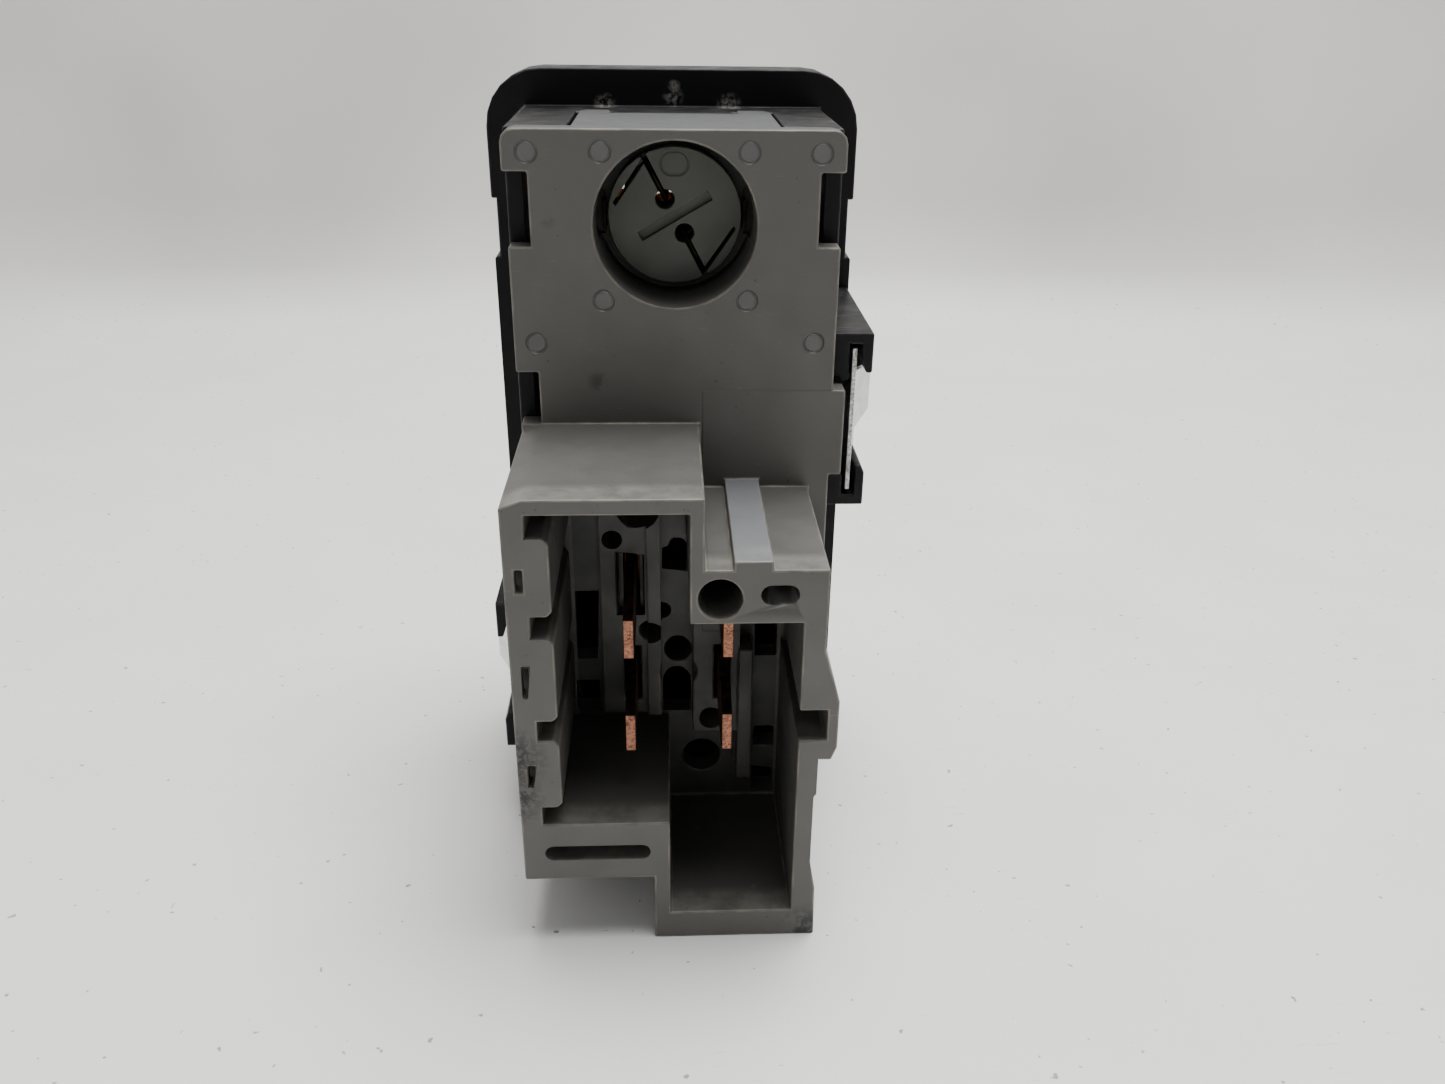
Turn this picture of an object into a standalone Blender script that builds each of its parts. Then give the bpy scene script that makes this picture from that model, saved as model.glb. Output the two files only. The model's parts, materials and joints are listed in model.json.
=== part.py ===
"""Illuminated dashboard rocker switch: a bezel with its sleeve, a rear cover with a two-part plug socket,
a twist-in bulb holder, four blade terminals, two seesaw contacts, a latching rocker and two side clips.

The pieces are laid out in millimetres round a datum: the middle of the cover's rear top edge. X runs
across the switch, +Y runs forward to the driver's side, and +Z is up.
"""
import math

import bmesh
import bpy
from mathutils import Matrix, Vector

MM = 0.001
GAP = 0.3

# Outer sizes, in millimetres from the datum.
BEZEL_HALF_WIDTH = 16.0
BEZEL_TOP = 2.9
BEZEL_BOTTOM = -63.2
BEZEL_CORNER = 4.8
FLANGE_BACK = 18.0
FLANGE_FRONT = 24.6
SLEEVE_HALF_WIDTH = 12.6
SLEEVE_WALL = 1.3
SLEEVE_TOP = -0.15
SLEEVE_BOTTOM = -61.1
COVER_THICKNESS = 2.0
OVERSHOOT = 1.0
WELD = 0.5
SOCKET_FRONT = -15.3
SOCKET_FLOOR = 0.0
RIDGE_FRONT = -2.4
ROCKER_TRAVEL = 10.0

WINDOW_HALF_WIDTH = SLEEVE_HALF_WIDTH - SLEEVE_WALL
WINDOW_TOP = SLEEVE_TOP - SLEEVE_WALL
WINDOW_BOTTOM = SLEEVE_BOTTOM + SLEEVE_WALL
SLEEVE_BACK = COVER_THICKNESS + GAP

# The rocker's pivot and the two contact columns.
PIVOT_Y = 16.5
PIVOT_Z = (WINDOW_TOP + WINDOW_BOTTOM) / 2
TRUNNION_RADIUS = 1.5
COLUMN_X = 3.8
BLADE_UPPER_Z = -35.6
BLADE_LOWER_Z = -44.1
SEESAW_Y = 5.2
CONTACT_ARM = 9.4

# The bulb holder's bore.
BORE_Z = -6.9
BORE_RADIUS = 6.1
HOLDER_RADIUS = 5.2
HOLDER_BACK = 4.5
HOLDER_ANGLE = 30.0
BULB_TIP = 14.2

# The side clips: two rails each, the left pair sits lower than the right one.
CLIP_DROP = 24.2
CLIP_ROOT = (14.45, 4.8, -22.8)

# The switch stands with its middle over the origin and its lowest edge at z = 0.
DATUM_Y = -6.694
DATUM_Z = -BEZEL_BOTTOM

ROUND = 32
SMALL_ROUND = 16

BLACK_ABS = (0.02, 0.02, 0.022)


def clear_scene():
    for old in list(bpy.data.objects):
        bpy.data.objects.remove(old, do_unlink=True)


def new_collection(name):
    collection = bpy.data.collections.new(name)
    bpy.context.scene.collection.children.link(collection)
    return collection


clear_scene()
PARTS = new_collection("dashboard_rocker_switch")
CUTTERS = new_collection("cutters_and_guides")


def add_datum():
    datum = bpy.data.objects.new("switch_datum", None)
    datum.location = (0.0, DATUM_Y * MM, DATUM_Z * MM)
    CUTTERS.objects.link(datum)
    return datum


DATUM = add_datum()


def make_material(name, colour, roughness, metallic=0.0, alpha=1.0):
    material = bpy.data.materials.new(name)
    material.use_nodes = True
    shader = material.node_tree.nodes["Principled BSDF"]
    shader.inputs["Base Color"].default_value = (*colour, 1.0)
    shader.inputs["Roughness"].default_value = roughness
    shader.inputs["Metallic"].default_value = metallic
    shader.inputs["Alpha"].default_value = alpha
    return material


# Meshes. Each is laid out in millimetres in the datum's frame and scaled to metres.

def finish_mesh(build, name):
    """Turns a millimetre bmesh into a mesh in metres."""
    bmesh.ops.scale(build, vec=(MM, MM, MM), verts=build.verts)
    bmesh.ops.recalc_face_normals(build, faces=build.faces)
    mesh = bpy.data.meshes.new(name)
    build.to_mesh(mesh)
    build.free()
    return mesh


def block(name, low, high):
    """A box between two corners."""
    low = Vector(low)
    high = Vector(high)
    build = bmesh.new()
    bmesh.ops.create_cube(build, size=1.0)
    bmesh.ops.scale(build, vec=high - low, verts=build.verts)
    bmesh.ops.translate(build, vec=(low + high) / 2, verts=build.verts)
    return finish_mesh(build, name)


def rod(name, start, end, radius, sides=SMALL_ROUND, end_radius=None):
    """A cylinder or cone from one point to another."""
    start = Vector(start)
    end = Vector(end)
    run = end - start
    build = bmesh.new()
    bmesh.ops.create_cone(
        build, cap_ends=True, segments=sides, depth=run.length,
        radius1=radius, radius2=radius if end_radius is None else end_radius)
    turn = run.to_track_quat("Z", "Y").to_matrix()
    bmesh.ops.rotate(build, cent=(0, 0, 0), matrix=turn, verts=build.verts)
    bmesh.ops.translate(build, vec=(start + end) / 2, verts=build.verts)
    mesh = finish_mesh(build, name)
    mesh.shade_smooth()
    mesh.set_sharp_from_angle(angle=math.radians(35))
    return mesh


def flat_prism(outline, thickness):
    """A prism from one closed outline, centred on the outline's plane."""
    build = bmesh.new()
    corners = [build.verts.new((x, y, -thickness / 2)) for x, y in outline]
    face = build.faces.new(corners)
    lifted = bmesh.ops.extrude_face_region(build, geom=[face])
    top = [item for item in lifted["geom"] if isinstance(item, bmesh.types.BMVert)]
    bmesh.ops.translate(build, vec=(0, 0, thickness), verts=top)
    return build


def plate_y(name, outline, back, front):
    """A plate whose outline is in X and Z, and which runs from back to front along Y."""
    build = flat_prism(outline, front - back)
    turn = Matrix.Rotation(math.radians(90), 3, "X")
    bmesh.ops.rotate(build, cent=(0, 0, 0), matrix=turn, verts=build.verts)
    bmesh.ops.translate(build, vec=(0, (front + back) / 2, 0), verts=build.verts)
    return finish_mesh(build, name)


def plate_x(name, outline, left, right):
    """A plate whose outline is in Y and Z, and which runs from left to right along X."""
    build = flat_prism(outline, right - left)
    turn = Matrix(((0, 0, 1), (1, 0, 0), (0, 1, 0)))
    bmesh.ops.rotate(build, cent=(0, 0, 0), matrix=turn, verts=build.verts)
    bmesh.ops.translate(build, vec=((left + right) / 2, 0, 0), verts=build.verts)
    return finish_mesh(build, name)


def plate_z(name, outline, low, high):
    """A plate whose outline is in X and Y, and which runs from low to high along Z."""
    build = flat_prism(outline, high - low)
    bmesh.ops.translate(build, vec=(0, 0, (low + high) / 2), verts=build.verts)
    return finish_mesh(build, name)


def rectangle(left, right, low, high):
    return [(left, low), (right, low), (right, high), (left, high)]


def arc(centre, radius, start, end, steps):
    """Points along an arc, from one angle to another in degrees."""
    angles = [math.radians(start + (end - start) * step / steps) for step in range(steps + 1)]
    return [(centre[0] + radius * math.cos(a), centre[1] + radius * math.sin(a)) for a in angles]


def rounded_rectangle(left, right, low, high, radius, steps=5):
    points = arc((right - radius, high - radius), radius, 90, 0, steps)
    points += arc((right - radius, low + radius), radius, 0, -90, steps)
    points += arc((left + radius, low + radius), radius, 270, 180, steps)
    points += arc((left + radius, high - radius), radius, 180, 90, steps)
    return points


def wire(name, points, radius):
    """A round wire through a list of points, with its ends closed."""
    curve = bpy.data.curves.new(name, "CURVE")
    curve.dimensions = "3D"
    curve.bevel_depth = radius * MM
    curve.bevel_resolution = 2
    curve.use_fill_caps = True
    spline = curve.splines.new("POLY")
    spline.points.add(len(points) - 1)
    for point, place in zip(spline.points, points):
        point.co = (place[0] * MM, place[1] * MM, place[2] * MM, 1.0)
    return curve


# Objects.

def place(name, data, collection, origin=(0, 0, 0), parent=None):
    """Puts a piece's shape in the scene, with its own origin at the given place in the datum's frame."""
    data.transform(Matrix.Translation(-Vector(origin) * MM))
    obj = bpy.data.objects.new(name, data)
    collection.objects.link(obj)
    obj.parent = parent or DATUM
    base = Vector(parent["origin"]) if parent else Vector((0, 0, 0))
    obj.location = (Vector(origin) - base) * MM
    obj["origin"] = list(origin)
    return obj


def add_part(name, data, material, origin=(0, 0, 0), parent=None):
    obj = place(name, data, PARTS, origin, parent)
    data.materials.append(material)
    return obj


def combine(target, mesh, operation):
    """Adds a guide or cutter to a piece with a Boolean, in the piece's own frame."""
    mesh.transform(Matrix.Translation(-Vector(target["origin"]) * MM))
    helper = bpy.data.objects.new(target.name + "_" + mesh.name, mesh)
    CUTTERS.objects.link(helper)
    helper.parent = target
    helper.hide_render = True
    helper.display_type = "WIRE"
    modifier = target.modifiers.new(mesh.name, "BOOLEAN")
    modifier.operation = operation
    modifier.solver = "EXACT"
    modifier.object = helper


def join(target, mesh):
    combine(target, mesh, "UNION")


def cut(target, mesh):
    combine(target, mesh, "DIFFERENCE")


def drill(target, name, centre_x, centre_z, radius, back, front, sides=SMALL_ROUND):
    cut(target, rod(name, (centre_x, back, centre_z), (centre_x, front, centre_z), radius, sides))


# The bezel and its sleeve.

def side_flip(side, outline):
    return [(side * x, z) for x, z in outline]


def bezel_outline():
    """The flange's outline, with a shallow relief on each long side near its top."""
    notch_high = -7.8
    notch_low = -12.9
    notch_depth = 0.45
    half = BEZEL_HALF_WIDTH
    points = arc((half - BEZEL_CORNER, BEZEL_TOP - BEZEL_CORNER), BEZEL_CORNER, 90, 0, 6)
    right_side = [(half, notch_high), (half - notch_depth, notch_high),
                  (half - notch_depth, notch_low), (half, notch_low)]
    points += right_side
    points += arc((half - BEZEL_CORNER, BEZEL_BOTTOM + BEZEL_CORNER), BEZEL_CORNER, 0, -90, 6)
    points += arc((BEZEL_CORNER - half, BEZEL_BOTTOM + BEZEL_CORNER), BEZEL_CORNER, 270, 180, 6)
    points += side_flip(-1, reversed(right_side))
    points += arc((BEZEL_CORNER - half, BEZEL_TOP - BEZEL_CORNER), BEZEL_CORNER, 180, 90, 6)
    return points


def upper_rail_outline(side, drop):
    outline = [(12.0, -15.6), (15.9, -15.6), (15.9, -18.9), (15.4, -18.9), (15.0, -17.6),
               (15.0, -16.5), (13.95, -16.5), (13.95, -19.1), (12.0, -19.1)]
    return [(side * x, z - drop) for x, z in outline]


def lower_rail_outline(side, drop):
    outline = [(12.0, -27.7), (13.95, -27.7), (13.95, -29.6), (15.0, -29.6), (15.0, -26.9),
               (15.5, -26.9), (15.8, -27.6), (15.8, -30.5), (12.0, -30.5)]
    return [(side * x, z - drop) for x, z in outline]


def add_rails(bezel, side, label, drop):
    """The two rails that hold one clip, with a small knob that keeps the clip in its slot."""
    for rail, outline in (("upper", upper_rail_outline), ("lower", lower_rail_outline)):
        name = "%s_rail_%s" % (rail, label)
        join(bezel, plate_y(name, outline(side, drop), SLEEVE_BACK, FLANGE_BACK + WELD))
    knob_x = side * 13.7
    knob_z = -19.1 - drop
    knob_front = 4.6
    knob = rod("clip_knob_" + label, (knob_x, SLEEVE_BACK, knob_z), (knob_x, knob_front, knob_z), 0.4)
    join(bezel, knob)


def build_bezel():
    material = make_material("black_abs", BLACK_ABS, 0.45)
    window = rectangle(-WINDOW_HALF_WIDTH, WINDOW_HALF_WIDTH, WINDOW_BOTTOM, WINDOW_TOP)
    flange = plate_y("flange", bezel_outline(), FLANGE_BACK, FLANGE_FRONT)
    bezel = add_part("front_bezel", flange, material)
    combine(bezel, rounded_front_edge(), "INTERSECT")
    sleeve = rectangle(-SLEEVE_HALF_WIDTH, SLEEVE_HALF_WIDTH, SLEEVE_BOTTOM, SLEEVE_TOP)
    join(bezel, plate_y("sleeve", sleeve, SLEEVE_BACK, FLANGE_BACK + WELD))
    cut(bezel, plate_y("window", window, SLEEVE_BACK - OVERSHOOT, FLANGE_FRONT + OVERSHOOT))
    for side, label, drop in ((1, "right", 0.0), (-1, "left", CLIP_DROP)):
        add_rails(bezel, side, label, drop)
        inner = side * (WINDOW_HALF_WIDTH - OVERSHOOT)
        outer = side * (SLEEVE_HALF_WIDTH + OVERSHOOT)
        hole = rod("trunnion_hole_" + label, (inner, PIVOT_Y, PIVOT_Z), (outer, PIVOT_Y, PIVOT_Z),
                   TRUNNION_RADIUS + 0.1, 24)
        cut(bezel, hole)
    # The cover's tongues lie in cut-outs of the sleeve's top and bottom walls, round a small black tab.
    top_cut = [(-8.0, SLEEVE_BACK - 1), (-8.0, 14.2), (-4.9, 14.2), (-4.9, 11.7), (4.9, 11.7), (4.9, 14.2),
               (8.2, 14.2), (8.2, SLEEVE_BACK - 1)]
    cut(bezel, plate_z("top_tongue_slot", top_cut, WINDOW_TOP - 0.5, SLEEVE_TOP + 0.5))
    cut(bezel, block("bottom_tongue_slot", (-6.3, SLEEVE_BACK - 1, SLEEVE_BOTTOM - 0.5),
                     (6.3, 12.3, WINDOW_BOTTOM + 0.5)))
    return bezel


def rounded_front_edge():
    """A pillow-edged body that rounds the flange where it faces the driver."""
    radius = 2.4
    outline = rounded_rectangle(-BEZEL_HALF_WIDTH - 0.01, BEZEL_HALF_WIDTH + 0.01, BEZEL_BOTTOM - 0.01,
                                BEZEL_TOP + 0.01, BEZEL_CORNER, 6)
    build = flat_prism(outline, 30.0)
    front_edges = [edge for edge in build.edges if all(v.co.z < -14.9 for v in edge.verts)]
    bmesh.ops.bevel(build, geom=front_edges, offset=radius, segments=3, profile=0.5, affect="EDGES",
                    material=-1)
    turn = Matrix.Rotation(math.radians(90), 3, "X")
    bmesh.ops.rotate(build, cent=(0, 0, 0), matrix=turn, verts=build.verts)
    bmesh.ops.translate(build, vec=(0, FLANGE_FRONT - 15.0, 0), verts=build.verts)
    return finish_mesh(build, "front_edge")


# The rear cover with its plug socket.

def cover_outline():
    right = [(12.6, -3.0), (10.75, -3.0), (10.75, -8.4), (12.45, -8.4), (12.45, -19.6), (13.45, -19.6),
             (13.45, -26.8), (12.45, -26.8), (12.45, -61.2)]
    left = [(-12.3, -61.2), (-12.3, -22.3), (-10.7, -22.3), (-10.7, -18.07), (-12.45, -18.07),
            (-12.45, -8.4), (-10.75, -8.4), (-10.75, -3.0), (-12.6, -3.0)]
    corner = 1.0
    top_left = arc((-12.6 + corner, -corner), corner, 180, 90, 3)
    top_right = arc((12.6 - corner, -corner), corner, 90, 0, 3)
    return top_left + top_right + right + left


def socket_outline():
    """The outside of the plug socket: a high left part and a lower, deeper right part with a latch hump."""
    return [(-12.3, -22.9), (-10.7, -22.3), (1.83, -22.3), (1.83, -27.8), (10.75, -27.8), (10.75, -34.5),
            (12.0, -38.9), (12.0, -43.0), (11.6, -44.1), (10.6, -44.1), (10.6, -47.4), (10.4, -47.6),
            (10.4, -54.0), (10.9, -56.8), (11.0, -61.5), (-2.05, -61.5), (-2.05, -55.2), (-12.3, -55.2)]


def socket_hollow():
    """The two joined pockets that the plug enters, with three guide grooves and a latch recess."""
    groove = -10.6
    land = -9.0
    ease = 0.4
    points = [(groove, -23.5), (0.78, -23.5), (0.78, -32.1), (9.0, -32.1), (9.0, -39.6), (11.15, -39.6),
              (11.15, -42.3), (9.0, -42.3), (9.0, -58.9), (-0.76, -58.9), (-0.76, -49.8), (groove, -49.8)]
    for low, high in ((-48.15, -42.0), (-40.25, -33.2), (-31.4, -25.25)):
        points += [(groove, low), (land - ease, low), (land, low + ease), (land, high - ease),
                   (land - ease, high), (groove, high)]
    return points


def add_blade_ridges(cover):
    """The raised beds that the blades stand in, each with a taller rib along its right side."""
    left_rib_front = RIDGE_FRONT - 0.5
    right_rib_front = RIDGE_FRONT - 0.4
    ridges = (("left", -6.3, -1.4, -48.1, -23.0, RIDGE_FRONT),
              ("left_rib", -2.5, -1.4, -48.1, -23.0, left_rib_front),
              ("right", 1.3, 5.3, -50.2, -31.6, RIDGE_FRONT),
              ("right_rib", 5.2, 6.45, -55.0, -41.7, right_rib_front))
    for label, left, right, low, high, front in ridges:
        join(cover, block("blade_ridge_" + label, (left, front, low), (right, WELD, high)))


def add_socket(cover):
    join(cover, plate_y("socket", socket_outline(), SOCKET_FRONT, WELD))
    cut(cover, plate_y("socket_hollow", socket_hollow(), SOCKET_FRONT - OVERSHOOT, SOCKET_FLOOR))
    join(cover, block("top_rib", (3.9, SOCKET_FRONT, -28.3), (6.7, WELD, -27.1)))
    add_blade_ridges(cover)
    lip = SOCKET_FRONT - OVERSHOOT
    slot_end = -3.0
    drill(cover, "key_hole", 2.96, -30.1, 1.6, lip, slot_end, 24)
    slot = rounded_rectangle(5.83, 8.64, -30.55, -28.98, 0.78, 4)
    cut(cover, plate_y("key_slot", slot, lip, slot_end))
    long_slot = rounded_rectangle(-10.6, -2.3, -53.3, -51.9, 0.69, 4)
    cut(cover, plate_y("core_slot", long_slot, lip, slot_end))
    for step, (low, high) in enumerate(((-29.45, -27.65), (-38.2, -35.4), (-46.2, -44.25))):
        cut(cover, block("guide_window_%d" % step, (-11.5, lip, low), (-10.95, -11.0, high)))
        cut(cover, block("side_window_%d" % step, (-13.0, -14.0, low), (-11.3, -11.0, high)))


def pierce_socket_floor(cover):
    """Slots for the blades, and the openings that the moulding's cores leave between them."""
    near = RIDGE_FRONT - OVERSHOOT
    through = COVER_THICKNESS + OVERSHOOT
    for side in (-1, 1):
        for row, height in (("upper", BLADE_UPPER_Z), ("lower", BLADE_LOWER_Z)):
            low = (side * COLUMN_X - 0.7, near, height - 2.7)
            high = (side * COLUMN_X + 0.7, through, height + 2.7)
            cut(cover, block("blade_slot_%s_%d" % (row, side), low, high))
    cut(cover, block("root_recess", (-5.0, near, -38.4), (-2.7, -1.0, -32.6)))
    ridge_holes = (("upper", -3.2, -28.5, 1.85, through), ("small", -5.3, -31.4, 0.85, through),
                   ("core", -2.25, -39.85, 1.0, through), ("low", 2.9, -48.8, 1.05, through),
                   ("shoulder", 0.08, -44.0, 1.6, -1.2))
    for label, x, z, radius, depth in ridge_holes:
        drill(cover, label + "_core_hole", x, z, radius, near, depth)
    plate_holes = (("pin", -1.3, -39.25, 0.8), ("spring", 0.05, -43.1, 1.25), ("deep", 2.15, -54.4, 1.7))
    for label, x, z, radius in plate_holes:
        drill(cover, label + "_core_hole", x, z, radius, -OVERSHOOT, through)
    upper_arch = [(-1.27, -35.4), (0.85, -35.4), (0.85, -33.3)] + arc((0.1, -33.1), 0.75, 0, 180, 6)
    cut(cover, plate_y("upper_arch", upper_arch + [(-1.27, -33.3)], -OVERSHOOT, through))
    lower_arch = [(-1.3, -49.5), (1.2, -49.5)] + arc((-0.05, -46.2), 1.25, 0, 180, 8)
    cut(cover, plate_y("lower_arch", lower_arch, -OVERSHOOT, through))
    windows = (("left_upper", -8.7, -6.8, -44.0, -37.4), ("left_lower", -8.9, -6.9, -49.3, -46.2),
               ("right_upper", 6.8, 8.7, -43.9, -39.8), ("right_middle", 6.8, 8.7, -53.4, -51.3),
               ("right_lower", 6.8, 8.7, -58.3, -55.8))
    for label, left, right, low, high in windows:
        cut(cover, block(label + "_window", (left, -OVERSHOOT, low), (right, through, high)))


def add_bulb_seat(cover):
    """The round chimney behind the bore, flattened where it meets the top tongue."""
    join(cover, rod("chimney", (0, WELD, BORE_Z), (0, 8.5, BORE_Z), 7.0, ROUND))
    cut(cover, block("chimney_trim", (-9, -1, 0.0), (9, 20, 2)))
    tongue = [(-7.65, WELD), (-7.65, 12.9), (-7.2, 13.9), (-5.2, 13.9), (-5.2, 11.4), (5.2, 11.4),
              (5.2, 13.9), (7.4, 13.9), (7.9, 12.9), (7.9, WELD)]
    thickness = 1.2
    join(cover, plate_z("top_tongue", tongue, -thickness, 0.0))
    bottom_high = SLEEVE_BOTTOM + thickness
    join(cover, block("bottom_tongue", (-6.0, WELD, SLEEVE_BOTTOM), (6.0, 12.0, bottom_high)))
    drill(cover, "bulb_bore", 0.0, BORE_Z, BORE_RADIUS, -1.0, 7.0, 48)
    drill(cover, "bulb_seat", 0.0, BORE_Z, 4.7, 6.5, 9.5, ROUND)
    for side in (-1, 1):
        strip_slot = block("lamp_strip_slot_%d" % side, (side * 6.4 - 0.9, 4.3, BORE_Z - 1.8),
                           (side * 6.4 + 0.9, 7.6, BORE_Z + 1.8))
        cut(cover, strip_slot)


def build_cover():
    material = make_material("grey_polyamide", (0.33, 0.33, 0.30), 0.5)
    cover = add_part("rear_cover", plate_y("cover_plate", cover_outline(), 0.0, COVER_THICKNESS), material)
    add_socket(cover)
    add_bulb_seat(cover)
    pierce_socket_floor(cover)
    return cover


# The bulb and its holder.

def polar(radius, degrees):
    """A point on the bore's cross-section, as (x, z)."""
    angle = math.radians(degrees)
    return radius * math.cos(angle), BORE_Z + radius * math.sin(angle)


def turned_block(name, low, high, degrees):
    """A box laid out beside the bore's axis, then turned about that axis."""
    mesh = block(name, low, high)
    turn = Matrix.Rotation(math.radians(-degrees), 4, "Y")
    centre = Matrix.Translation((0, 0, BORE_Z * MM))
    mesh.transform(centre @ turn)
    return mesh


def build_holder():
    material = make_material("pale_grey_polyamide", (0.36, 0.38, 0.33), 0.5)
    disc_front = 6.7
    neck_front = 9.3
    neck_radius = 4.3
    origin = (0.0, HOLDER_BACK, BORE_Z)
    body = rod("holder_disc", (0, HOLDER_BACK, BORE_Z), (0, disc_front, BORE_Z), HOLDER_RADIUS, ROUND)
    holder = add_part("bulb_holder", body, material, origin)
    neck_back = disc_front - WELD
    join(holder, rod("holder_neck", (0, neck_back, BORE_Z), (0, neck_front, BORE_Z), neck_radius, ROUND))
    cut(holder, rod("bulb_cup", (0, 8.2, BORE_Z), (0, 10.0, BORE_Z), 2.6, 24))
    slot_low = (-3.15, HOLDER_BACK - OVERSHOOT, -0.38)
    slot_high = (3.15, HOLDER_BACK + 0.6, 0.38)
    cut(holder, turned_block("screwdriver_slot", slot_low, slot_high, HOLDER_ANGLE))
    for half, label in ((0, "upper"), (180, "lower")):
        x, z = polar(1.5, HOLDER_ANGLE + 90 + half)
        cut(holder, rod("lead_hole_" + label, (x, 3.5, z), (x, 10.5, z), 0.75, SMALL_ROUND))
        slit = turned_block("lead_slit_" + label, (1.5, 3.5, -0.24), (6.0, HOLDER_BACK + 1.1, 0.24),
                            HOLDER_ANGLE + 88 + half)
        cut(holder, slit)
        arm = turned_block("arm_slot_" + label, (4.2, 3.5, -2.0), (4.5, 7.5, 2.0), HOLDER_ANGLE + 115 + half)
        cut(holder, arm)
    return holder


def quarter_dome(radius, centre, start, end, step):
    """Points of a dome's profile as (radius, y), from one angle to another in degrees."""
    angles = [math.radians(angle) for angle in range(start, end, step)]
    return [(radius * math.cos(angle), centre + radius * math.sin(angle)) for angle in angles]


def build_bulb(holder):
    build_glass(holder)
    build_leads(holder)
    tungsten = make_material("tungsten", (0.5, 0.5, 0.52), 0.35, 1.0)
    reach = 0.75
    depth = 12.1
    start_x, start_z = polar(reach, HOLDER_ANGLE + 90)
    end_x, end_z = polar(reach, HOLDER_ANGLE + 270)
    coil = rod("bulb_filament", (start_x, depth, start_z), (end_x, depth, end_z), 0.15, 8)
    add_part("bulb_filament", coil, tungsten, holder["origin"], holder)
    copper = make_material("copper_strip", (0.6, 0.3, 0.16), 0.35, 1.0)
    for half, label in ((0, "left"), (180, "right")):
        low = (HOLDER_RADIUS + 0.12, 5.4, -1.1)
        high = (HOLDER_RADIUS + 0.42, 6.5, 1.1)
        strip = turned_block("bulb_contact_" + label, low, high, HOLDER_ANGLE + 150 + half)
        add_part("bulb_contact_" + label, strip, copper, holder["origin"], holder)


def build_glass(holder):
    """The lamp's thin glass, open at its foot."""
    glass = make_material("clear_glass", (0.95, 0.95, 0.93), 0.03, 0.0, 0.35)
    radius = 2.2
    wall = 0.35
    foot = 8.6
    shoulder = BULB_TIP - radius
    outside = [(radius, foot)] + quarter_dome(radius, shoulder, 0, 90, 15) + [(0.0, BULB_TIP)]
    inner = radius - wall
    inside = [(0.0, BULB_TIP - wall)] + quarter_dome(inner, shoulder, 75, -1, -15) + [(inner, foot)]
    add_part("bulb_glass", turned_shell("bulb_glass", outside + inside), glass, holder["origin"], holder)


def build_leads(holder):
    """Two bare wires that run along the holder's slits, through its holes and up to the filament."""
    tinned = make_material("tinned_wire", (0.75, 0.6, 0.42), 0.3, 1.0)
    for half, label in ((0, "upper"), (180, "lower")):
        hole_x, hole_z = polar(1.35, HOLDER_ANGLE + 90 + half)
        rim_x, rim_z = polar(4.9, HOLDER_ANGLE + 88 + half)
        top_x, top_z = polar(1.1, HOLDER_ANGLE + 90 + half)
        route = [(rim_x, HOLDER_BACK + 0.4, rim_z), (hole_x, HOLDER_BACK + 0.6, hole_z),
                 (hole_x, 8.0, hole_z), (top_x, 12.2, top_z)]
        lead = wire("bulb_lead_" + label, route, 0.2)
        add_part("bulb_lead_" + label, lead, tinned, holder["origin"], holder)


def turned_shell(name, outline):
    """A thin turned shell about the bore's axis, from a closed outline of (radius, y) points."""
    build = bmesh.new()
    vertices = [build.verts.new((radius, along, 0.0)) for radius, along in outline]
    for first, second in zip(vertices, vertices[1:] + vertices[:1]):
        if first.co.x > 0.0001 or second.co.x > 0.0001:
            build.edges.new((first, second))
    bmesh.ops.spin(build, geom=build.verts[:] + build.edges[:], cent=(0, 0, 0), axis=(0, 1, 0),
                   angle=math.tau, steps=20, use_merge=True)
    bmesh.ops.remove_doubles(build, verts=build.verts, dist=0.001)
    bmesh.ops.translate(build, vec=(0, 0, BORE_Z), verts=build.verts)
    mesh = finish_mesh(build, name)
    mesh.shade_smooth()
    mesh.set_sharp_from_angle(angle=math.radians(35))
    return mesh


def build_light_tube():
    """A white sleeve in front of the bulb that keeps its light on the lit window."""
    white = make_material("white_acetal", (0.85, 0.85, 0.82), 0.4)
    back = 9.6
    front = 14.6
    inner = 3.25
    outer = 4.1
    outline = [(outer, back), (outer, front), (inner, front), (inner, back)]
    add_part("light_tube", turned_shell("light_tube", outline), white)


# The contacts.

def blade_outline(height):
    """A blade's side view: its tip is tapered in height so that it enters the receptacle."""
    root = 2.5
    tip = -11.3
    taper = tip + 2.2
    half = 2.4
    tip_half = 1.65
    return [(root, height - half), (root, height + half), (taper, height + half), (tip, height + tip_half),
            (tip, height - tip_half), (taper, height - half)]


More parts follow.
